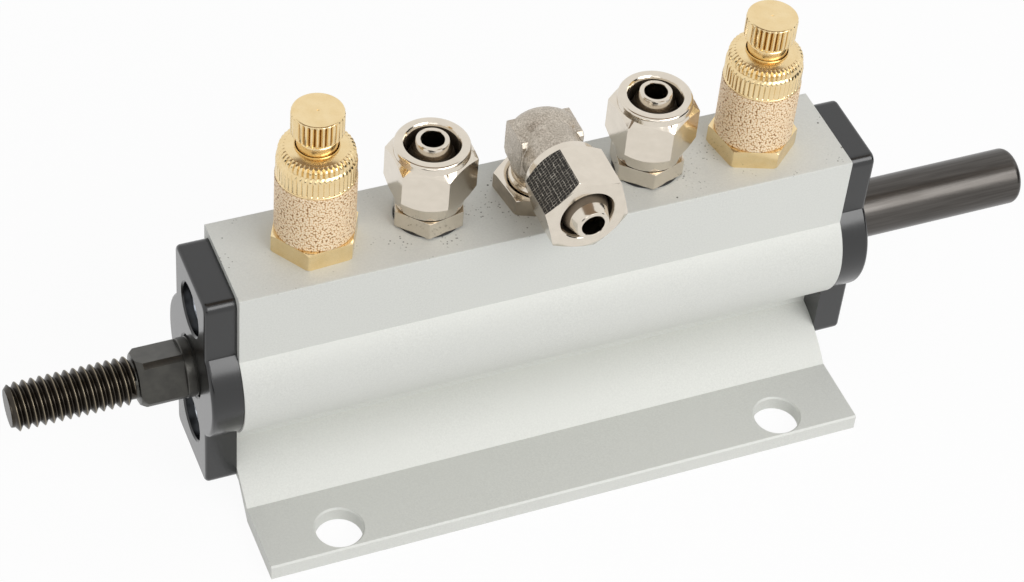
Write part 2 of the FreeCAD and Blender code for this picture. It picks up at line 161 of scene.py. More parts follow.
def use_second_finish(bm, radii, levels):
    """Gives the second finish to faces with their middle between two radii and two heights."""
    for face in bm.faces:
        middle = face.calc_center_median()
        if radii[0] < from_axis(middle) < radii[1] and levels[0] < middle.z < levels[1]:
            face.material_index = 1


def soften(bm, width, angle=25, segments=2):
    """Breaks the sharp edges of a piece."""
    bm.normal_update()
    limit = math.radians(angle)
    sharp = [e for e in bm.edges if len(e.link_faces) == 2 and e.calc_face_angle(0) > limit]
    bmesh.ops.bevel(bm, geom=sharp, offset=width, offset_type="OFFSET", segments=segments, profile=0.5,
                    affect="EDGES", clamp_overlap=True, material=-1)


def toothed(columns, count):
    """Ring of teeth about Z. Each column is (share of a tooth, profile points)."""
    bm = bmesh.new()
    chains = []
    for share, profile in columns:
        angle = 2 * math.pi * share / count
        points = [bm.verts.new((r * math.cos(angle), r * math.sin(angle), z)) for r, z in profile]
        chains.append([bm.edges.new(pair) for pair in zip(points, points[1:])])
    for left, right in zip(chains, chains[1:]):
        bmesh.ops.bridge_loops(bm, edges=left + right)
    bmesh.ops.spin(bm, geom=bm.verts[:] + bm.edges[:] + bm.faces[:], cent=(0, 0, 0), axis=UP,
                   dvec=(0, 0, 0), angle=2 * math.pi, steps=count, use_merge=False, use_duplicate=True)
    bmesh.ops.remove_doubles(bm, verts=bm.verts, dist=1e-3)
    return bm


def join(bm, other):
    """Adds a second shape to the first."""
    spare = bpy.data.meshes.new("spare")
    other.to_mesh(spare)
    other.free()
    bm.from_mesh(spare)
    bpy.data.meshes.remove(spare)
    return bm


def place(bm, at, along=UP, turn=0):
    """Scales a shape to metres, turns its Z axis onto a direction and moves it."""
    spin = Matrix.Rotation(math.radians(turn), 4, "Z")
    lean = UP.rotation_difference(along).to_matrix().to_4x4()
    whole = Matrix.Translation(at) @ lean @ spin @ Matrix.Scale(MM, 4)
    bmesh.ops.transform(bm, matrix=whole, verts=bm.verts)
    return bm


def drawn_from_the_side(start=(0, 0, 0), facing=1):
    """Matrix for a shape drawn as (y, z): its height then runs along X from a point."""
    x, y, z = start
    return Matrix(((0, 0, facing, x), (1, 0, 0, y), (0, 1, 0, z), (0, 0, 0, 1)))


def loose_object(name, bm):
    """Object made of a shape, which is used up."""
    mesh = bpy.data.meshes.new(name)
    bm.to_mesh(mesh)
    bm.free()
    made = bpy.data.objects.new(name, mesh)
    bpy.context.scene.collection.objects.link(made)
    return made


def discard(spent):
    """Removes a loose object and its mesh."""
    mesh = spent.data
    bpy.data.objects.remove(spent)
    bpy.data.meshes.remove(mesh)


def shape_of(made):
    """Shape of a loose object with its modifiers done; the object is removed."""
    bpy.context.view_layer.update()
    shown = made.evaluated_get(bpy.context.evaluated_depsgraph_get())
    bm = bmesh.new()
    bm.from_mesh(shown.to_mesh())
    shown.to_mesh_clear()
    discard(made)
    return bm


def piece(name, bm, body, finishes, stands_for=(), smooth=35, weighted=True):
    """Turns a shape into a named piece that rides on a body and stands for CAD nodes."""
    bmesh.ops.recalc_face_normals(bm, faces=bm.faces)
    made = loose_object(name, bm)
    made.data.shade_smooth()
    made.data.set_sharp_from_angle(angle=math.radians(smooth))
    for finish in finishes:
        made.data.materials.append(finish)
    if weighted:
        made.modifiers.new("even shading", "WEIGHTED_NORMAL").keep_sharp = True
    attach(made, body)
    if stands_for:
        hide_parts(*stands_for)


def carve(block, cutters):
    """Cuts shapes out of a shape and returns what is left."""
    for shape in [block] + cutters:
        bmesh.ops.recalc_face_normals(shape, faces=shape.faces)
    whole = loose_object("whole", block)
    tools = [loose_object("tool", cutter) for cutter in cutters]
    for tool in tools:
        modifier = whole.modifiers.new("cut", "BOOLEAN")
        modifier.operation = "DIFFERENCE"
        modifier.solver = "EXACT"
        modifier.object = tool
    left = shape_of(whole)
    for tool in tools:
        discard(tool)
    bmesh.ops.remove_doubles(left, verts=left.verts, dist=1e-5)
    return left


# Materials

# Sockets of a Mix node that mixes colours
FIRST_COLOUR, SECOND_COLOUR, MIXED_COLOUR = 6, 7, 2


def colour(text):
    """Linear colour from an sRGB hex value."""
    parts = [int(text[k:k + 2], 16) / 255 for k in (0, 2, 4)]
    return tuple(p / 12.92 if p <= 0.04045 else ((p + 0.055) / 1.055) ** 2.4 for p in parts) + (1.0,)


def add(tree, kind, settings=None, **links):
    """Adds a node with its options and values, and links outputs to its sockets; i0 is socket 0."""
    node = tree.nodes.new("ShaderNode" + kind)
    for name, value in (settings or {}).items():
        if isinstance(name, str) and hasattr(node, name):
            setattr(node, name, value)
        else:
            node.inputs[name].default_value = value
    for name, source in links.items():
        numbered = name[0] == "i" and name[1:].isdigit()
        tree.links.new(source, node.inputs[int(name[1:]) if numbered else name])
    return node


def ramp(tree, source, stops):
    """Colour ramp through stops of a place and a hex colour or a level."""
    node = tree.nodes.new("ShaderNodeValToRGB")
    tree.links.new(source, node.inputs["Fac"])
    marks = node.color_ramp.elements
    while len(marks) < len(stops):
        marks.new(0.5)
    for mark, (where, shade) in zip(marks, stops):
        mark.position = where
        mark.color = colour(shade) if isinstance(shade, str) else (shade, shade, shade, 1.0)
    return node.outputs["Color"]


def plain_material(name, shade, roughness):
    """New material of one colour; returns it, its node tree and its shader."""
    made = bpy.data.materials.new(name)
    made.use_nodes = True
    shader = made.node_tree.nodes["Principled BSDF"]
    shader.inputs["Base Color"].default_value = colour(shade)
    shader.inputs["Roughness"].default_value = roughness
    return made, made.node_tree, shader


def material(name, shade, metallic, roughness, **sockets):
    """New material; returns it, its node tree, its shader and its object coordinates in millimetres."""
    made, tree, shader = plain_material(name, shade, roughness)
    shader.inputs["Metallic"].default_value = metallic
    for socket, value in sockets.items():
        shader.inputs[socket.replace("_", " ")].default_value = value
    where = add(tree, "TexCoord").outputs["Object"]
    scaled = add(tree, "VectorMath", {"operation": "SCALE", "Scale": 1 / MM}, i0=where)
    return made, tree, shader, scaled.outputs["Vector"]


def mix(tree, factor, first, second):
    """Mixes a colour output with a hex colour or a second colour output, by a factor output."""
    node = tree.nodes.new("ShaderNodeMix")
    node.data_type = "RGBA"
    tree.links.new(factor, node.inputs["Factor"])
    tree.links.new(first, node.inputs[FIRST_COLOUR])
    if isinstance(second, str):
        node.inputs[SECOND_COLOUR].default_value = colour(second)
    else:
        tree.links.new(second, node.inputs[SECOND_COLOUR])
    return node.outputs[MIXED_COLOUR]


def combined(tree, operation, first, second):
    """Output of a sum done on two outputs, such as MULTIPLY or MAXIMUM."""
    return add(tree, "Math", {"operation": operation}, i0=first, i1=second).outputs[0]


def bumped(tree, shader, height, strength, depth):
    """Raises the surface by a height output, depth in millimetres."""
    bump = add(tree, "Bump", {"Strength": strength, "Distance": depth * MM}, Height=height)
    tree.links.new(bump.outputs["Normal"], shader.inputs["Normal"])


def speckle(tree, where, density, size, patches):
    """Small round pits, density to the millimetre, gathered in patches."""
    pits = add(tree, "TexVoronoi", {"Scale": density, "Randomness": 1.0}, Vector=where)
    pit = ramp(tree, pits.outputs["Distance"], [(size, 1.0), (size * 1.7, 0.0)])
    some = add(tree, "TexNoise", {"Scale": 0.1 + 0.05 * density, "Detail": 1.0}, Vector=where)
    patch = ramp(tree, some.outputs["Fac"], [(patches[0], 0.0), (patches[1], 1.0)])
    return combined(tree, "MULTIPLY", pit, patch)


def blasted_aluminium():
    # Anodised aluminium extrusion, bead blasted: a fine matt grain, with tiny dark pits on top.
    made, tree, shader, where = material("blasted anodised aluminium", "D9DAD5", 0.2, 0.6)
    grain = add(tree, "TexNoise", {"Scale": 3.2, "Detail": 4.0, "Roughness": 0.7}, Vector=where)
    cloud = add(tree, "TexNoise", {"Scale": 0.06, "Detail": 2.0}, Vector=where)
    tone = ramp(tree, grain.outputs["Fac"], [(0.3, "CFD0CB"), (0.7, "E2E3DE")])
    tone = mix(tree, cloud.outputs["Fac"], tone, "DADBD6")
    height = add(tree, "SeparateXYZ", Vector=where).outputs["Z"]
    on_top = add(tree, "Math", {"operation": "GREATER_THAN", 1: TOP / MM - 0.2}, i0=height).outputs[0]
    wide_pits = speckle(tree, where, 0.42, 0.055, (0.48, 0.6))
    fine_pits = speckle(tree, where, 1.6, 0.16, (0.56, 0.66))
    for pits, shade in ((wide_pits, "5C5C56"), (fine_pits, "7E7D77")):
        tone = mix(tree, combined(tree, "MULTIPLY", pits, on_top), tone, shade)
    tree.links.new(tone, shader.inputs["Base Color"])
    bumped(tree, shader, grain.outputs["Fac"], 0.25, 0.05)
    return made


def black_plastic():
    # Injection moulded nylon, glossy black, with a slight ripple in its skin.
    made, tree, shader, where = material("moulded black nylon", "0F1011", 0.0, 0.24, IOR=1.58,
                                         Coat_Weight=0.2, Coat_Roughness=0.2)
    ripple = add(tree, "TexNoise", {"Scale": 0.5, "Detail": 2.0}, Vector=where)
    bumped(tree, shader, ripple.outputs["Fac"], 0.2, 0.05)
    return made


def blackened_steel():
    # Black oxide on turned steel: dark satin grey, browner on the thread, whose crests carry a painted
    # highlight in a lighter colour.
    made, tree, shader, where = material("black oxide steel", "4A4743", 0.95, 0.33)
    axis = (0, AXIS_Y / MM, AXIS_Z / MM)
    off_axis = add(tree, "VectorMath", {"operation": "SUBTRACT", 1: axis}, i0=where).outputs["Vector"]
    across = add(tree, "VectorMath", {"operation": "MULTIPLY", 1: (0, 1, 1)}, i0=off_axis)
    radius = add(tree, "VectorMath", {"operation": "LENGTH"}, i0=across.outputs["Vector"])
    crest = add(tree, "MapRange", {"From Min": STUD_R - 0.1, "From Max": STUD_R, "To Min": 0.0,
                                   "To Max": 1.0}, Value=radius.outputs["Value"]).outputs["Result"]
    along = add(tree, "SeparateXYZ", Vector=where).outputs["X"]
    thread_end = ROD_LOW.x / MM + STUD_LONG - 0.5
    stud = add(tree, "Math", {"operation": "LESS_THAN", 1: thread_end}, i0=along).outputs[0]
    patch = add(tree, "TexNoise", {"Scale": 0.5, "Detail": 3.0}, Vector=where)
    tone = ramp(tree, patch.outputs["Fac"], [(0.35, "4A4946"), (0.65, "53524E")])
    thread = ramp(tree, patch.outputs["Fac"], [(0.35, "38332D"), (0.65, "433E37")])
    tone = mix(tree, stud, tone, thread)
    # Painted highlight: the outermost tenth of a millimetre of the thread's crests is mixed to a lighter
    # colour.
    tone = mix(tree, combined(tree, "MULTIPLY", crest, stud), tone, "8C8270")
    tree.links.new(tone, shader.inputs["Base Color"])
    grain = add(tree, "TexNoise", {"Scale": 3.0, "Detail": 3.0}, Vector=where)
    bumped(tree, shader, grain.outputs["Fac"], 0.15, 0.02)
    return made


def ground_steel():
    # Dark steel ground along its length: fine streaks, and the lamp mirrored as one long band.
    made, tree, shader, where = material("ground dark steel", "54514E", 1.0, 0.3)
    streak = add(tree, "Mapping", {"Scale": (0.05, 1.0, 1.0)}, Vector=where)
    lines = add(tree, "TexNoise", {"Scale": 2.0, "Detail": 3.0}, Vector=streak.outputs["Vector"])
    tone = ramp(tree, lines.outputs["Fac"], [(0.35, "4E4B48"), (0.65, "5A5754")])
    tree.links.new(tone, shader.inputs["Base Color"])
    bumped(tree, shader, lines.outputs["Fac"], 0.1, 0.01)
    return made


def turned_metal(name, shade, dark, rough, marks=0.12):
    # Turned metal: faint marks left by the tool, and a slightly uneven tone.
    made, tree, shader, where = material(name, shade, 1.0, rough)
    patch = add(tree, "TexNoise", {"Scale": 0.5, "Detail": 3.0}, Vector=where)
    tone = ramp(tree, patch.outputs["Fac"], [(0.3, dark), (0.7, shade)])
    tree.links.new(tone, shader.inputs["Base Color"])
    scratch = add(tree, "TexNoise", {"Scale": 4.0, "Detail": 2.0}, Vector=where)
    bumped(tree, shader, scratch.outputs["Fac"], marks, 0.02)
    return made


def sintered_bronze():
    # Sintered bronze: pale granules fused together, 2.9 to the millimetre; each has a painted highlight in
    # its middle and painted shade in the small pores between.
    made, tree, shader = plain_material("sintered bronze", "F0CDA0", 0.45)
    shader.inputs["Metallic"].default_value = 0.25
    unrolled = add(tree, "UVMap", {"uv_map": "unrolled"}).outputs["UV"]
    cells = add(tree, "TexVoronoi", {"voronoi_dimensions": "2D", "Scale": 2.9, "Randomness": 0.9},
                Vector=unrolled).outputs["Distance"]
    # Painted light: each granule is brightest in its middle as a painted highlight and darkest at its edge
    # as painted shade in the pores.
    tone = ramp(tree, cells, [(0.3, "FFECCE"), (0.5, "F3D0A0"), (0.66, "CE9F6C"), (0.8, "7C5832")])
    tree.links.new(tone, shader.inputs["Base Color"])
    ball = ramp(tree, cells, [(0.1, 1.0), (0.75, 0.0)])
    bumped(tree, shader, ball, 0.7, 0.12)
    return made


def cast_nickel():
    # Nickel plate over a shot blasted forging: grey satin with a sandy grain.
    made, tree, shader, where = material("nickel over blasted forging", "BDB3A6", 1.0, 0.42)
    grain = add(tree, "TexNoise", {"Scale": 3.6, "Detail": 3.0, "Roughness": 0.6}, Vector=where)
    tone = ramp(tree, grain.outputs["Fac"], [(0.36, "A39A8D"), (0.62, "D6CDC0")])
    cloud = add(tree, "TexNoise", {"Scale": 0.45, "Detail": 2.0}, Vector=where)
    tone = mix(tree, ramp(tree, cloud.outputs["Fac"], [(0.4, 0.0), (0.65, 0.4)]), tone, "A39A8D")
    tone = mix(tree, speckle(tree, where, 1.2, 0.12, (0.54, 0.64)), tone, "7A7266")
    tree.links.new(tone, shader.inputs["Base Color"])
    bumped(tree, shader, grain.outputs["Fac"], 0.4, 0.1)
    return made


def dark_grid_nickel():
    # Nickel plate: one dark flat crossed by a fine grid of bright lines.
    made, tree, shader, where = material("dark nickel facet with a grid of bright lines", "34322F", 1.0, 0.36)
    grid = []
    for direction, turn, density, waver in (("Y", 0, 0.62, 1.7), ("X", 45, 0.47, 4.1)):
        laid = add(tree, "Mapping", {"Rotation": (0, math.radians(turn), 0)}, Vector=where)
        wave = add(tree, "TexWave", {"bands_direction": direction, "Scale": density, "Distortion": 2.2,
                                     "Detail": 2.0, "Detail Scale": waver}, Vector=laid.outputs["Vector"])
        broken = add(tree, "TexNoise", {"Scale": 0.9 + 0.2 * waver, "Detail": 2.0}, Vector=where)
        line = ramp(tree, wave.outputs["Fac"], [(0.86, 0.0), (0.98, 1.0)])
        grid.append(combined(tree, "MULTIPLY", line, broken.outputs["Fac"]))
    grid_lines = combined(tree, "MAXIMUM", *grid)
    tone = ramp(tree, grid_lines, [(0.2, "343230"), (0.5, "7A756C"), (0.75, "D0CABE")])
    tree.links.new(tone, shader.inputs["Base Color"])
    bumped(tree, shader, grid_lines, 0.25, 0.05)
    return made


def plain_finish(name, shade, metallic, rough):
    # Bores and inner pieces that are hardly seen: an even tone with a light grain.
    made, tree, shader, where = material(name, shade, metallic, rough)
    grain = add(tree, "TexNoise", {"Scale": 1.5, "Detail": 2.0}, Vector=where)
    bumped(tree, shader, grain.outputs["Fac"], 0.1, 0.03)
    return made


ALUMINIUM = blasted_aluminium()
NYLON = black_plastic()
BLACK_STEEL = blackened_steel()
GROUND_STEEL = ground_steel()
BRASS = turned_metal("turned brass", "EFD8AA", "E9CF9D", 0.2)
# Brass painted darker as shade, for the bottoms of the knob's flutes.
GROOVE_SHADE_BRASS = turned_metal("brass painted darker in grooves as shade", "B98F4E", "A87D3E", 0.35)
# Dull nickel painted darker as shade, for the flats of the elbow's hexagon.
SHADED_DULL_NICKEL = turned_metal("dull nickel plate painted darker as shade", "B8AC9B", "A4998A", 0.3)
NICKEL = turned_metal("bright nickel plate", "DED5C7", "D8CFC1", 0.14, 0.05)
FORGING = cast_nickel()
DARK_GRID_NICKEL = dark_grid_nickel()
# Nickel painted dark as shade, for the insides of the nuts and the deep part of the barbs.
BORE_SHADE_NICKEL = plain_finish("nickel painted dark as shade in bores", "857A6C", 1.0, 0.5)
BRONZE = sintered_bronze()
ZINC = turned_metal("zinc plated steel", "D6DCE4", "B8BEC8", 0.36)
RUBBER = plain_finish("nitrile rubber", "1B1B1B", 0.0, 0.55)
ACETAL = plain_finish("natural acetal", "E4E2D8", 0.0, 0.4)
BUSH_BRONZE = plain_finish("turned bushing bronze", "B98A55", 1.0, 0.3)
SPRING_STEEL = plain_finish("spring steel clip", "AAAAAA", 1.0, 0.3)


# Valve body: section drawn from the side as (y, z) in millimetres from the foot's underside


def body_outline():
    """Flat top block, round barrel, curved web and side foot."""
    width, barrel_r, wall, underside, rounding = 18.4, 12.4, 3.3, 5.2, 0.4
    foot_edge, foot_bend, web_bulge, web_top, undercut = -4.6, 8.5, 0.8, 9.2, 47
    y, z, top = AXIS_Y / MM, AXIS_Z / MM, TOP / MM
    front, back = y - width / 2, y + width / 2
    block_turn = math.degrees(math.asin(width / 2 / barrel_r))
    web_turn = math.degrees(math.acos(wall / barrel_r))

    web_low, web_high = Vector((foot_bend, FOOT_THICK)), Vector((y - wall, web_top))
    chord = web_high - web_low
    bulge = Vector((-chord.y, chord.x)).normalized() * web_bulge
    web_steps = 16
    shares = [k / web_steps for k in range(web_steps + 1)]
    web = [tuple(web_low + chord * share + bulge * 4 * share * (1 - share)) for share in shares]

    near = 0.3 * rounding
    points = [(foot_edge, 0), (foot_edge, FOOT_THICK - 0.3), (foot_edge + 0.3, FOOT_THICK)] + web
    points += arc((y, z), barrel_r, 180 + web_turn, 90 + block_turn, 40)
    points += [(front, top - rounding), (front + near, top - near), (front + rounding, top)]
    points += [(back - rounding, top), (back - near, top - near), (back, top - rounding)]
    points += arc((y, z), barrel_r, 90 - block_turn, block_turn - 90, 32)
    under_bend = foot_bend - 0.3
    points += [(back, underside + rounding), (back - rounding, underside)]
    points += [(under_bend + underside / math.tan(math.radians(undercut)), underside), (under_bend, 0)]
    return points


def drill(radius, chamfer, low, high):
    """Cutter for a round hole with both rims broken."""
    wide = radius + chamfer
    return turned([(0, low - 1), (wide + 1, low - 1), (wide, low), (radius, low + chamfer),
                   (radius, high - chamfer), (wide, high), (wide + 1, high + 1), (0, high + 1)], steps=64)


def valve_body():
    bore_r, port_r, port_deep, hole_chamfer = 8.3, 4.87, 8.5, 0.28
    long = (BODY_HIGH.x - BODY_LOW.x) / MM
    block = prism(body_outline(), 0, long)
    bmesh.ops.transform(block, matrix=drawn_from_the_side((BODY_LOW.x / MM, 0, 0)), verts=block.verts)
    cutters = []
    foot_holes = mount_sizes("foot_holes")
    for side in (-1, 1):
        hole = drill(foot_holes["hole_r_mm"], hole_chamfer, 0, FOOT_THICK)
        bmesh.ops.translate(hole, verts=hole.verts, vec=(side * foot_holes["spacing_x_mm"] / 2, 0, 0))
        cutters.append(hole)
    bore = turned([(0, -1), (bore_r, -1), (bore_r, long + 1), (0, long + 1)], steps=64)
    start = Matrix.Translation((BODY_LOW.x / MM, AXIS_Y / MM, AXIS_Z / MM))
    bmesh.ops.transform(bore, matrix=start @ Matrix.Rotation(math.pi / 2, 4, "Y"), verts=bore.verts)
    cutters.append(bore)
    for node in ("silencer_left_sleeve", "hose_fitting_left_seal", "elbow_base",
                 "hose_fitting_right_seal", "silencer_right_sleeve"):
        port = turned([(0, -port_deep), (port_r, -port_deep), (port_r, 1), (0, 1)], steps=48)
        bmesh.ops.translate(port, verts=port.verts, vec=over_port(node) / MM)
        cutters.append(port)
    block = carve(block, cutters)
    bmesh.ops.scale(block, verts=block.verts, vec=(MM, MM, MM))
    piece("body_extrusion", block, "valve", [ALUMINIUM], ["valve_body"], smooth=30)


# End caps: block with a lobe to each side, drawn as (y, z) from the rod's axis


def cap_outline():
    half, lobe_r, top, foot, corner = 8.0, 12.1, 21.0, -21.1, 1.6
    lobe_turn = math.degrees(math.acos(half / lobe_r))
    points = arc((half - corner, top - corner), corner, 0, 90, 6)
    points += arc((corner - half, top - corner), corner, 90, 180, 6)
    points += arc((0, 0), lobe_r, 180 - lobe_turn, 180 + lobe_turn, 40)
    points += arc((corner - half, foot + corner), corner, 180, 270, 6)
    points += arc((half - corner, foot + corner), corner, 270, 360, 6)
    points += arc((0, 0), lobe_r, -lobe_turn, lobe_turn, 40)
    return points


def end_cap(side):
    name = "left" if side < 0 else "right"
    low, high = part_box("end_cap_" + name)
    thick = (high.x - low.x) / MM
    block = prism(cap_outline(), 0, thick)
    block.normal_update()
    rim = [edge for edge in block.edges if all(vert.co.z > thick - 1e-4 for vert in edge.verts)]
    bmesh.ops.bevel(block, geom=rim, offset=0.7, offset_type="OFFSET", segments=4, profile=0.5,
                    affect="EDGES", clamp_overlap=True, material=-1)
    rod_hole_r, screw_hole_r, well_r, well_deep = 5.3, 2.25, 4.5, 3.1
    screw_heights = (13.2, -11.8)
    rod_hole = turned([(0, -1), (rod_hole_r, -1), (rod_hole_r, thick - 0.3), (rod_hole_r + 0.4, thick + 0.1),
                       (rod_hole_r + 0.4, thick + 1), (0, thick + 1)], steps=64)
    cutters = [rod_hole]
    for screw_height in screw_heights:
        well = turned([(0, -1), (screw_hole_r, -1), (screw_hole_r, thick - well_deep),
                       (well_r, thick - well_deep), (well_r, thick - 0.3), (well_r + 0.35, thick + 0.05),
                       (well_r + 0.35, thick + 1), (0, thick + 1)], steps=64)
        bmesh.ops.translate(well, verts=well.verts, vec=(0, screw_height, 0))
        cutters.append(well)
    block = carve(block, cutters)
    inner_face = high.x if side < 0 else low.x
    stood = drawn_from_the_side((inner_face / MM, AXIS_Y / MM, AXIS_Z / MM), facing=side)
    bmesh.ops.transform(block, matrix=Matrix.Scale(MM, 4) @ stood, verts=block.verts)
    piece("end_cap_" + name + "_moulding", block, "valve", [NYLON], ["end_cap_" + name],
          smooth=32)


def cap_screw(node, side):
    """Screw with a domed head and a cross recess that narrows downwards."""
    low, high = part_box(node)
    shank_r, r, h = 2.0, 4.1, 1.7
    outer = low.x if side < 0 else high.x
    middle = middle_of(node)
    at = Vector((outer - side * h * MM, middle.y, middle.z))
    long = (high.x - low.x) / MM - h
    shape = turned([(0, -long), (shank_r - 0.5, -long), (shank_r, 0.5 - long), (shank_r, 0), (r, 0),
                    (r, h - 0.9), (r - 0.12, h - 0.55), (r - 0.4, h - 0.25), (r - 0.9, h - 0.02),
                    (r - 1.7, h + 0.18), (r - 2.8, h + 0.32), (0, h + 0.4)], steps=72)
    slot_half, slot_deep, slot_reach, floor_share = 0.5, 1.3, 0.55 * r, 0.6
    cutters = []
    for turn in (45, 135):
        slot = prism([(-slot_half, -slot_reach), (slot_half, -slot_reach), (slot_half, slot_reach),
                      (-slot_half, slot_reach)], h - slot_deep, h + 1)
        for vert in slot.verts:
            if vert.co.z < h:
                set_radius(vert, floor_share * from_axis(vert.co))
        spin = Matrix.Rotation(math.radians(turn), 3, "Z")
        bmesh.ops.rotate(slot, verts=slot.verts, cent=(0, 0, 0), matrix=spin)
        cutters.append(slot)
    shape = place(carve(shape, cutters), at, RIGHT * side)
    piece(node + "_zinc", shape, "valve", [ZINC], [node], smooth=28)


# Spool rod: threaded stud, wrench flats, plain rod


def thread_sheet(radius, root, pitch, turns):
    """Helical ridge about Z that runs over a number of turns."""
    bm = bmesh.new()
    ridge = [(0.0, root), (0.08, root), (0.47, radius - 0.04), (0.51, radius), (0.55, radius),
             (0.59, radius - 0.04), (0.98, root), (1.0, root)]
    points = [bm.verts.new((r, 0, share * pitch)) for share, r in ridge]
    edges = [bm.edges.new(pair) for pair in zip(points, points[1:])]
    steps = 60
    bmesh.ops.spin(bm, geom=points + edges, cent=(0, 0, 0), axis=UP, dvec=(0, 0, pitch / steps),
                   angle=2 * math.pi * turns, steps=turns * steps, use_merge=False, use_duplicate=False)
    bmesh.ops.remove_doubles(bm, verts=bm.verts, dist=1e-3)
    return bm


ROD_R, FLATS_START, FLATS_END, COLLAR_LONG = 5.0, 21.9, 28.5, 1.5
THREAD_ROOT, THREAD_STOP = STUD_R - 0.8, STUD_LONG - 0.25
NECK_R = THREAD_ROOT + 0.02


def stud_thread():
    """Thread with a coned first turn that runs out into a plain neck."""
    pitch, tip_r, run_out = 1.37, STUD_R - 0.85, 0.5
    thread = thread_sheet(STUD_R, THREAD_ROOT, pitch, int(THREAD_STOP / pitch) + 3)
    bmesh.ops.translate(thread, verts=thread.verts, vec=(0, 0, -1.5 * pitch))
    plane_cut(thread, (0, 0, 0), (0, 0, -1))
    plane_cut(thread, (0, 0, THREAD_STOP), (0, 0, 1), fill=False)
    for vert in thread.verts:
        radius = from_axis(vert.co)
        if radius > 0.1:
            limit = min(radius, tip_r + vert.co.z)
            if vert.co.z > THREAD_STOP - run_out:
                limit = min(limit, NECK_R)
            set_radius(vert, limit)
    place(thread, ROD_START, RIGHT)
    piece("rod_thread", thread, "spool", [BLACK_STEEL], smooth=40, weighted=False)


def stud_flats():
    """Wrench flats between the thread and the rod."""
    across, turn = 8.0, -21.5
    shank = turned([(0, THREAD_STOP - 0.4), (NECK_R, THREAD_STOP - 0.4), (NECK_R, STUD_LONG - 0.1),
                    (4.3, STUD_LONG), (ROD_R + 0.1, FLATS_START), (ROD_R + 0.1, FLATS_END), (0, FLATS_END)],
                   steps=120)
    cut_flats(shank, 4, across, turn)
    soften(shank, 0.08, angle=30)
    for vert in shank.verts:
        if from_axis(vert.co) > ROD_R:
            set_radius(vert, ROD_R)
    place(shank, ROD_START, RIGHT)
    piece("rod_wrench_flats", shank, "spool", [BLACK_STEEL], smooth=25)


def plain_rod():
    """Blackened collar with a fine groove behind it, then the ground rod with its rounded tail."""
    blackened_end, groove, rounding = FLATS_END + 8, FLATS_END + COLLAR_LONG, 1.3
    long = (ROD_HIGH.x - ROD_LOW.x) / MM
    front = turned([(0, FLATS_END), (ROD_R - 0.12, FLATS_END), (ROD_R, FLATS_END + 0.12),
                    (ROD_R, groove - 0.1), (ROD_R - 0.12, groove), (ROD_R - 0.12, groove + 0.12),
                    (ROD_R, groove + 0.2), (ROD_R, blackened_end), (0, blackened_end)], steps=120)
    place(front, ROD_START, RIGHT)
    piece("rod_collar", front, "spool", [BLACK_STEEL], smooth=30)
    tail = arc((ROD_R - rounding, long - rounding), rounding, 0, 90, 9)
    bar = turned([(0, blackened_end), (ROD_R, blackened_end)] + tail + [(0, long)], steps=120)
    place(bar, ROD_START, RIGHT)
    piece("rod_plain", bar, "spool", [GROUND_STEEL], ["spool_rod"], smooth=30)


# Exhaust silencers


def threaded_stub(top):
    """Screwed end of a fitting down in its port; its thread is never seen, so it stays plain."""
    return turned([(0, -7.0), (4.3, -7.0), (4.8, -6.5), (4.83, top), (0, top)], steps=48)


def knurled_ring(low, high, mouth_r):
    """Clamping ring: rounded bead, fluted band, groove, row of rounded teeth, smooth cone to the screw."""
    r, teeth, inner_r = 6.47, 44, 4.45
    band_r, groove_r, cone_r = r - 0.07, r - 0.6, r - 1.42
    cone_low = low + 5.78

    def wall(flute, gap):
        """Wall at one place round the ring, cut back by a flute in the band and a gap between teeth."""
        band = [(band_r - 0.03, low + 0.44), (band_r - flute, low + 0.56), (band_r - flute, low + 3.05),
                (band_r - 0.05 - 0.8 * flute, low + 3.4), (band_r - 0.26 - 0.3 * flute, low + 3.78)]
        groove = [(groove_r, low + 4.0), (groove_r, low + 4.08)]
        tooth = [(r - 0.34 - gap, low + 4.2), (r - 0.32 - gap, low + 4.75), (r - 0.46 - gap, low + 5.2),
                 (r - 0.86 - 0.8 * gap, low + 5.6), (cone_r, cone_low)]
        return band + groove + tooth

    crest, side, root = wall(0.0, 0.0), wall(0.08, 0.14), wall(0.2, 0.4)
    columns = [(0.0, root), (0.16, side), (0.34, crest), (0.66, crest), (0.84, side), (1.0, root)]
    steps = teeth * 5
    cone = turned([(cone_r, cone_low), (cone_r - 0.08, cone_low - 0.04), (mouth_r + 0.5, high - 0.04),
                   (mouth_r + 0.22, high), (mouth_r + 0.08, high - 0.03), (mouth_r, high - 0.16),
                   (mouth_r, high - 0.95), (inner_r, high - 0.95), (inner_r, low)], steps=steps)
    bead = turned([(inner_r, low), (r - 0.3, low)] + arc((r - 0.2, low + 0.22), 0.2, -80, 75, 8)
                  + [(r - 0.24, low + 0.44), (r - 0.1, low + 0.44)], steps=steps)
    return join(join(toothed(columns, teeth), cone), bead)


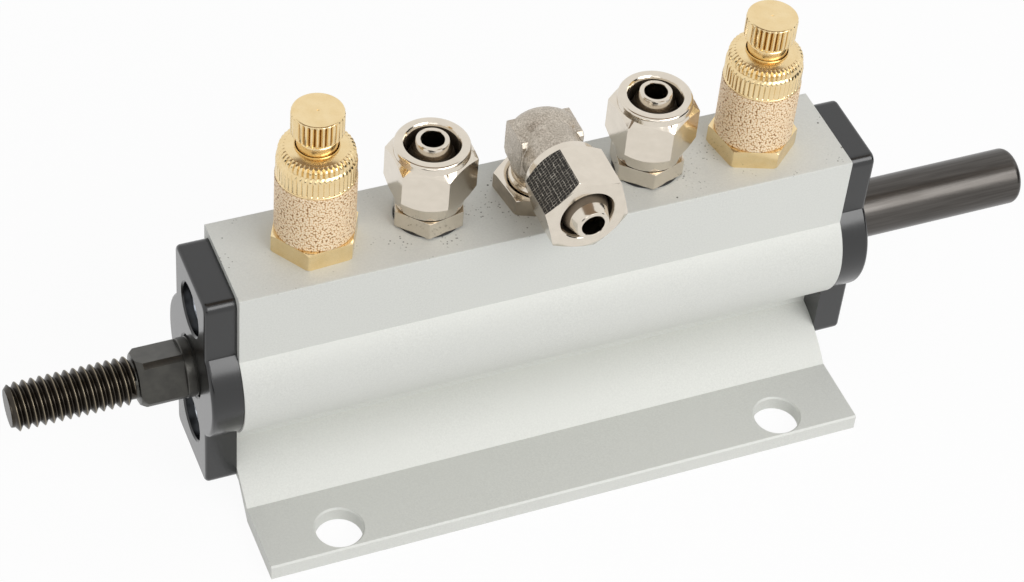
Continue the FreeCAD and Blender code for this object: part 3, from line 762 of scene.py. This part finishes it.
def fluted_knob(low, high):
    """Knob of the adjusting screw: rounded flutes under a thin rim, flat top with a small centre mark."""
    r, flutes, flute_deep, flute_steps = 4.22, 28, 0.5, 8
    columns = []
    for k in range(flute_steps + 1):
        share = k / flute_steps
        cut = flute_deep * (0.5 + 0.5 * math.cos(2 * math.pi * share)) ** 2
        columns.append((share, [(r - 0.5, low), (r - 0.12 - 0.6 * cut, low + 0.12), (r - cut, low + 0.4),
                                (r - cut, high - 0.5), (r - 0.75 * cut, high - 0.36),
                                (r - 0.05 - 0.2 * cut, high - 0.24), (r - 0.1, high - 0.14),
                                (r - 0.22, high - 0.04), (r - 0.34, high)]))
    shape = toothed(columns, flutes)
    # The faces down in the flutes get the second finish: brass painted darker as shade.
    use_second_finish(shape, (0, r - 0.3), (low + 0.2, high - 0.3))
    steps = flutes * flute_steps
    top = turned([(r - 0.34, high), (0.2, high), (0.12, high - 0.14), (0, high - 0.16)], steps=steps)
    under = turned([(r - 0.5, low), (3.0, low)], steps=steps)
    return join(join(shape, top), under)


def granules(radius, low, high):
    """Sleeve wall grown over with fused granules, with its wall unrolled to a map in millimetres."""
    around_steps, row_high, wall, granule, relief = 330, 0.125, 1.93, 0.4, 0.03
    rows = int((high - low) / row_high)
    profile = [(radius - wall, low + 0.02), (radius - 0.5, low + 0.02)]
    profile += [(radius, low + 0.04 + (high - low - 0.08) * k / rows) for k in range(rows + 1)]
    profile += [(radius - 0.5, high - 0.02), (radius - wall, high - 0.02)]
    bm = turned(profile, steps=around_steps, closed=True)
    for vert in bm.verts:
        if from_axis(vert.co) > radius - 0.1:
            near = noise.voronoi(vert.co / granule, distance_metric="DISTANCE")[0][0]
            rise = math.sqrt(max(0.0, 0.7 - min(0.7, near * near))) - 0.7
            set_radius(vert, from_axis(vert.co) + relief * rise)
    unrolled = bm.loops.layers.uv.new("unrolled")
    for face in bm.faces:
        centre = face.calc_center_median()
        middle = math.atan2(centre.x, -centre.y)
        for loop in face.loops:
            around = math.atan2(loop.vert.co.x, -loop.vert.co.y) - middle
            around = (around + math.pi) % (2 * math.pi) - math.pi
            inwards = radius - from_axis(loop.vert.co)
            loop[unrolled].uv = ((middle + around) * radius, loop.vert.co.z + inwards)
    return bm


def adjusting_screw(knob_low, knob_top, ring_top, hex_high):
    """Fluted knob on a stem with a ridge, a groove for the O-ring and a stepped point."""
    neck_r, groove_r, point_r, end_r, end_low = 3.3, 2.56, 2.4, 1.0, hex_high + 2.7
    stem = turned([(neck_r - 0.5, knob_low + 0.05), (neck_r, knob_low + 0.05),
                   (neck_r + 0.03, knob_low - 0.55), (neck_r - 0.1, knob_low - 0.66),
                   (neck_r - 0.12, knob_low - 0.8), (neck_r, knob_low - 0.92),
                   (neck_r, knob_low - 1.5), (neck_r - 0.02, ring_top - 2.4),
                   (groove_r, ring_top - 2.4), (groove_r, ring_top - 3.7), (neck_r, ring_top - 3.8),
                   (neck_r, hex_high + 10.9), (point_r, hex_high + 10.4), (point_r, hex_high + 5.5),
                   (end_r, end_low), (0, end_low)], steps=96)
    return join(fluted_knob(knob_low, knob_top), stem)


def silencer(side, turn):
    """Brass base, bronze sleeve, clamping ring and adjusting screw."""
    name = "silencer_" + side
    at = over_port(name + "_sleeve")
    hex_high, sleeve_top = heights(name + "_sleeve")
    ring_top = heights(name + "_ring")[1]
    knob_top = heights(name + "_screw")[1]
    tube_r, bore_r, sleeve_r, mouth_r, knob_high = 4.4, 3.4, 6.53, 3.4, 4.35

    r = NUT_CORNER_R
    base = turned([(0, 0), (r - 0.25, 0), (r, 0.2), (r, hex_high - 0.25), (r - 0.5, hex_high),
                   (0, hex_high)], steps=96)
    cut_flats(base, 6, NUT_FLATS, turn + 30)
    soften(base, 0.09, angle=28)
    join(base, threaded_stub(0.1))
    tube = turned([(0, hex_high - 0.1), (tube_r, hex_high - 0.1), (tube_r, ring_top - 1.2),
                   (bore_r, ring_top - 1.2), (bore_r, ring_top - 6), (0, ring_top - 6)], steps=48)
    join(base, tube)
    piece(name + "_hexagon", place(base, at), "valve", [BRASS], [name + "_base"],
          smooth=24)
    sleeve = granules(sleeve_r, hex_high, sleeve_top)
    piece(name + "_granules", place(sleeve, at), "valve", [BRONZE], [name + "_sleeve"],
          smooth=180, weighted=False)
    ring = knurled_ring(sleeve_top, ring_top, mouth_r)
    piece(name + "_knurled_ring", place(ring, at), "valve", [BRASS], [name + "_ring"],
          smooth=30)
    screw = adjusting_screw(knob_top - knob_high, knob_top, ring_top, hex_high)
    piece(name + "_adjusting_screw", place(screw, at), side + "_adjust",
          [BRASS, GROOVE_SHADE_BRASS], [name + "_screw"], smooth=30)


# Hose fittings


NUT_THREAD_R, NUT_MOUTH_R, THREAD_TOP = 5.0, 4.35, 5.0
SKIRTED = [(5.5, 0), (5.7, 0.2), (6.2, 2.65), (NUT_CORNER_R, 3.95), (NUT_CORNER_R, 9.65), (6.2, 10.45)]
SKIRTED += arc((5.6, 11.35), 0.6, 0, 90, 8)
COLLARED = [(6.15, 0), (6.3, 0.06), (6.35, 0.2), (6.35, 1.4), (NUT_CORNER_R, 2.3), (NUT_CORNER_R, 10.3),
            (6.6, 10.68), (6.45, 10.75)]


def union_nut(outside):
    """Union nut standing on Z 0 with its mouth upwards; outside runs from the skirt to the face."""
    top = outside[-1][1]
    inside = [(NUT_MOUTH_R + 0.35, top), (NUT_MOUTH_R, top - 0.5), (NUT_MOUTH_R, THREAD_TOP),
              (NUT_THREAD_R, THREAD_TOP)]
    blank = turned([(NUT_THREAD_R, 0)] + outside + inside, steps=120, closed=True)
    cut_flats(blank, 6, NUT_FLATS, 30)
    soften(blank, 0.05, angle=30)
    bmesh.ops.recalc_face_normals(blank, faces=blank.faces)
    # Faces inside the mouth and thread bore get the second finish, nickel painted dark as shade.
    use_second_finish(blank, (0, NUT_MOUTH_R + 0.25), (0, top - 0.35))
    return blank


def hose_spigot(start, shelf, tip):
    """Threaded nose and coned tail of a fitting up to its tip. The deep part of the barb gets the bore's
    nickel, painted dark as shade.
    """
    bore_r, neck_r = 1.9, 2.3
    nose = [(bore_r, start), (4.95, start), (4.95, shelf - 0.5), (4.45, shelf), (neck_r, shelf)]
    barb = [(neck_r, tip - 4.55), (3.85, tip - 4.1), (3.98, tip - 3.98), (4.0, tip - 3.85),
            (3.94, tip - 3.65), (3.28, tip - 1.8)]
    end = [(2.8, tip - 0.45), (2.74, tip - 0.25), (2.66, tip - 0.08), (2.54, tip), (2.04, tip),
           (bore_r + 0.05, tip - 0.06), (bore_r, tip - 0.2)]
    spigot = turned(nose + barb + end, steps=96, closed=True)
    use_second_finish(spigot, (neck_r - 0.1, math.inf), (tip - 7.0, tip - 2.5))
    return spigot


def straight_fitting(side, turn):
    """Hexagon with its spigot, washer and union nut."""
    node = "hose_fitting_" + side + "_"
    at = over_port(node + "body")
    nut_low = heights(node + "nut")[0]
    tip = heights(node + "body")[1]
    seal_high = heights(node + "seal")[1]
    hex_top, shelf, nut_turn = nut_low - 0.12, nut_low + 4.7, 32
    corners = arc((0, 0), FITTING_FLATS / math.sqrt(3), turn, turn + 300, 5)
    hexagon = prism(corners, seal_high, hex_top)
    soften(hexagon, 0.06, angle=28)
    join(hexagon, hose_spigot(hex_top - 0.6, shelf, tip))
    join(hexagon, threaded_stub(seal_high + 0.1))
    piece(node + "hexagon", place(hexagon, at), "valve", [NICKEL, BORE_SHADE_NICKEL],
          [node + "body"], smooth=24)
    washer = turned([(5.0, 0), (5.6, 0), (5.7, 0.08), (5.7, seal_high - 0.08), (5.6, seal_high),
                     (5.0, seal_high)], steps=96, closed=True)
    piece(node + "washer", place(washer, at), "valve", [RUBBER], [node + "seal"], smooth=30)
    nut = place(union_nut(SKIRTED), at + UP * nut_low * MM, turn=nut_turn)
    piece(node + "union_nut", nut, side + "_nut", [NICKEL, BORE_SHADE_NICKEL], [node + "nut"],
          smooth=24)


def elbow_hexagon(turn):
    """Base of the elbow, with a round recess on top for the swivel, bright turned faces, and flats in a
    duller nickel painted darker as shade.
    """
    r, hex_high, recess_r, recess_floor = NUT_CORNER_R, 3.2, 5.4, 1.4
    base = turned([(0, 0), (r - 0.25, 0), (r, 0.2), (r, hex_high - 0.25), (r - 0.45, hex_high),
                   (recess_r + 0.45, hex_high), (recess_r, hex_high - 0.35),
                   (recess_r - 0.05, recess_floor), (0, recess_floor)], steps=96)
    cut_flats(base, 6, NUT_FLATS, turn + 30)
    soften(base, 0.09, angle=28)
    base.normal_update()
    # Top and bottom faces get the bright nickel; the flats keep the dull nickel, painted darker as shade.
    for face in base.faces:
        if abs(face.normal.z) > 0.6:
            face.material_index = 1
    return join(base, threaded_stub(0.1))


def elbow():
    """Hexagon in the body, swivelling forging with its collar and spigot, and union nut to the front."""
    at = over_port("elbow_base")
    rise = sum(heights("elbow_nut")) / 2
    arm = (at.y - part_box("elbow_nut")[1].y) / MM
    tip = (at.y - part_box("elbow_body")[0].y) / MM
    arm_axis = at + UP * rise * MM
    piece("elbow_hexagon", place(elbow_hexagon(38), at), "valve", [SHADED_DULL_NICKEL, NICKEL],
          ["elbow_base"], smooth=24)
    collar = turned([(0, 1.5), (5.0, 1.5), (5.2, 1.7), (5.2, 3.3), (5.05, 3.7), (4.75, 4.0), (4.7, 5.2),
                     (5.0, 5.6), (0, 5.6)], steps=96)
    piece("elbow_collar", place(collar, at), "elbow", [NICKEL], smooth=30)
    piece("elbow_forging", place(elbow_forging(rise, arm), at), "elbow", [FORGING],
          ["elbow_body"], smooth=180, weighted=False)
    spigot = hose_spigot(2.5, arm + 4.7, tip)
    piece("elbow_spigot", place(spigot, arm_axis, FRONT), "elbow", [NICKEL, BORE_SHADE_NICKEL],
          smooth=24)

    nut = place(union_nut(COLLARED), arm_axis + FRONT * arm * MM, FRONT, turn=45)
    nut.normal_update()
    # One flat of the nut gets the dark finish with its grid of bright lines.
    dark_grid_side = Vector((-1, 0, 1)).normalized()
    for face in nut.faces:
        if face.normal.dot(dark_grid_side) > 0.99 and face.calc_area() > 1e-5:
            face.material_index = 2
    piece("elbow_union_nut", nut, "elbow_nut", [NICKEL, BORE_SHADE_NICKEL, DARK_GRID_NICKEL], ["elbow_nut"],
          smooth=24)


def elbow_forging(rise, arm):
    """Swollen middle with a wrench pad on either side, upright leg and lying arm, melted into one."""
    side, middle_r, side_r, limb_r, voxel = 5.35, 5.2, 3.0, 5.1, 0.11
    bow_high = middle_r - side_r
    bow_r = (side ** 2 + bow_high ** 2) / (2 * bow_high)
    reach = math.degrees(math.asin(side / bow_r))
    bow = arc((middle_r - bow_r, 0), bow_r, -reach, reach, 24)
    forging = turned([(0, -side)] + bow + [(0, side)], steps=72)
    lying = turned([(0, 0), (limb_r, 0), (limb_r, arm - 0.4), (0, arm - 0.4)], steps=72)
    for part, axis in ((forging, "Y"), (lying, "X")):
        laid = Matrix.Rotation(math.pi / 2, 3, axis)
        bmesh.ops.rotate(part, verts=part.verts, cent=(0, 0, 0), matrix=laid)
        bmesh.ops.translate(part, verts=part.verts, vec=(0, 0, rise))
    join(forging, lying)
    leg = turned([(0, 4.4), (4.7, 4.4), (4.75, 5.1), (limb_r, 6.1), (limb_r, rise), (0, rise)], steps=72)
    join(forging, leg)
    front, back, low, high, corner = -3.8, 3.3, rise - 4.0, rise + 3.2, 0.7
    pads = prism([(front, low + corner), (front + corner, low), (back - corner, low), (back, low + corner),
                  (back, high - corner), (back - corner, high), (front + corner, high),
                  (front, high - corner)], -side, side)
    bmesh.ops.transform(pads, matrix=drawn_from_the_side(), verts=pads.verts)
    join(forging, pads)
    bmesh.ops.recalc_face_normals(forging, faces=forging.faces)
    made = loose_object("forging", forging)
    melt = made.modifiers.new("melt", "REMESH")
    melt.mode = "VOXEL"
    melt.voxel_size = voxel
    bm = shape_of(made)
    bmesh.ops.smooth_vert(bm, verts=bm.verts, factor=0.5, use_axis_x=True, use_axis_y=True, use_axis_z=True)
    bm.normal_update()
    for vert in bm.verts:
        swell = 0.05 * noise.noise(vert.co * 0.7) + 0.03 * noise.noise(vert.co * 2.6) - 0.02
        vert.co += vert.normal * swell
    return bm


valve_body()
for end in (-1, 1):
    end_cap(end)
for corner in ("left_upper", "left_lower", "right_upper", "right_lower"):
    cap_screw("cap_screw_" + corner, -1 if corner.startswith("left") else 1)
stud_thread()
stud_flats()
plain_rod()
silencer("left", 3.8)
silencer("right", 40.0)
straight_fitting("left", 12.0)
straight_fitting("right", 18.5)
elbow()

# Inner pieces keep their own shape and get a finish
INNER = {"cap_seal": RUBBER, "bore_seal": RUBBER, "rod_wiper": RUBBER, "silencer_left_seal": RUBBER,
         "silencer_right_seal": RUBBER, "elbow_seal": RUBBER, "spacer_cage": ACETAL,
         "end_bush": BUSH_BRONZE, "elbow_clip": SPRING_STEEL}
for name, inner in frame["nodes"].items():
    for start, finish in INNER.items():
        if name.startswith(start):
            inner.data.materials.clear()
            inner.data.materials.append(finish)


# Studio: pale floor, soft lights, camera at the photograph's angle


def stage_card(name, centre, towards, width, height, finish, turn=0):
    """Flat card facing a point, turned in its own plane."""
    bm = bmesh.new()
    bmesh.ops.create_grid(bm, x_segments=1, y_segments=1, size=0.5)
    bmesh.ops.scale(bm, verts=bm.verts, vec=(width, height, 1))
    facing = (Vector(towards) - Vector(centre)).normalized()
    lean = UP.rotation_difference(facing).to_matrix().to_4x4()
    spin = Matrix.Rotation(math.radians(turn), 4, "Z")
    bmesh.ops.transform(bm, matrix=Matrix.Translation(centre) @ lean @ spin, verts=bm.verts)
    card = loose_object(name, bm)
    card.data.materials.append(finish)
    return card


def seen_or_mirrored(tree):
    """Output that is 1 for what the camera sees, directly or in metal or glass, and 0 for light."""
    rays = add(tree, "LightPath").outputs
    seen = combined(tree, "MAXIMUM", rays["Is Camera Ray"], rays["Is Glossy Ray"])
    return combined(tree, "MAXIMUM", seen, rays["Is Transmission Ray"])


def floor_finish():
    # White paper sweep: white where the camera sees it, with a light shadow under the valve.
    made, tree, shader = plain_material("white paper floor", "F4F4F4", 0.9)
    glow = add(tree, "Emission", {"Color": (1, 1, 1, 1), "Strength": 1.0}).outputs["Emission"]
    share = add(tree, "Math", {"operation": "MULTIPLY", 1: 0.94}, i0=seen_or_mirrored(tree)).outputs[0]
    both = add(tree, "MixShader", Fac=share, i1=shader.outputs["BSDF"], i2=glow)
    tree.links.new(both.outputs["Shader"], tree.nodes["Material Output"].inputs["Surface"])
    return made


stage_card("floor", (0, 0, 0), (0, 0, 1), 6.0, 6.0, floor_finish())


def world_light():
    """Soft white surroundings: plain white where seen or mirrored, about half of that as light."""
    world = bpy.data.worlds.new("studio")
    bpy.context.scene.world = world
    world.use_nodes = True
    tree = world.node_tree
    strength = add(tree, "MapRange", {"From Min": 0.0, "From Max": 1.0, "To Min": 0.54, "To Max": 1.0},
                   Value=seen_or_mirrored(tree))
    background = tree.nodes["Background"]
    background.inputs["Color"].default_value = (1, 1, 1, 1)
    tree.links.new(strength.outputs["Result"], background.inputs["Strength"])


def soft_light(name, at, target, size, power):
    """Rectangular lamp that faces a point."""
    data = bpy.data.lights.new(name, "AREA")
    data.shape = "RECTANGLE"
    data.size, data.size_y = size
    data.energy = power
    lamp = bpy.data.objects.new(name, data)
    bpy.context.scene.collection.objects.link(lamp)
    lamp.location = at
    lamp.rotation_euler = (Vector(target) - Vector(at)).to_track_quat("-Z", "Y").to_euler()


def mirrored_card(name, centre, towards, width, height, shade, turn=0):
    """Card that shows in reflections alone, for the dark streaks that polished metal mirrors."""
    finish = plain_material(name, shade, 0.9)[0]
    card = stage_card(name, centre, towards, width, height, finish, turn)
    card.visible_camera = False
    card.visible_diffuse = False
    card.visible_shadow = False
    card.visible_transmission = False


world_light()
MIDDLE = (0, 0.02, 0.04)
BLACK, BROWN = "141414", "A8927C"
soft_light("key light", (0.34, -0.64, 0.64), MIDDLE, (0.7, 0.5), 4.2)
soft_light("front light", (-0.3, -0.75, 0.4), MIDDLE, (0.4, 0.4), 0.37)
mirrored_card("dark card right", (0.75, -0.25, 0.15), MIDDLE, 0.5, 0.6, BLACK)
mirrored_card("brown card overhead", (-0.02, 0.03, 0.8), (-0.02, 0.03, 1.8), 1.15, 0.42, BROWN, turn=-26)
mirrored_card("dark card low in front", (-0.33, -0.67, 0.05), MIDDLE, 0.6, 0.26, BLACK)


def photo_camera():
    """Camera at the photograph's angle, fitted to the object's edges; its lengths are in millimetres."""
    azimuth, elevation, roll = math.radians(-25.85), math.radians(45.51), 0.103
    distance, focal = 468.155, 97.65
    target = Vector((-2.552, 21.918, AXIS_Z / MM))
    flat = math.cos(elevation)
    back = Vector((math.sin(azimuth) * flat, -math.cos(azimuth) * flat, math.sin(elevation)))
    level = Vector((math.cos(azimuth), math.sin(azimuth), 0))
    tall = back.cross(level)
    right = level * math.cos(roll) + tall * math.sin(roll)
    up = tall * math.cos(roll) - level * math.sin(roll)
    data = bpy.data.cameras.new("photo camera")
    data.lens = focal
    data.sensor_width = 36.0
    data.clip_start = 0.01
    camera = bpy.data.objects.new("photo camera", data)
    bpy.context.scene.collection.objects.link(camera)
    turn = Matrix((right, up, back)).transposed().to_4x4()
    camera.matrix_world = Matrix.Translation((target + back * distance) * MM) @ turn
    bpy.context.scene.camera = camera


photo_camera()
bpy.context.scene.view_settings.view_transform = "Standard"
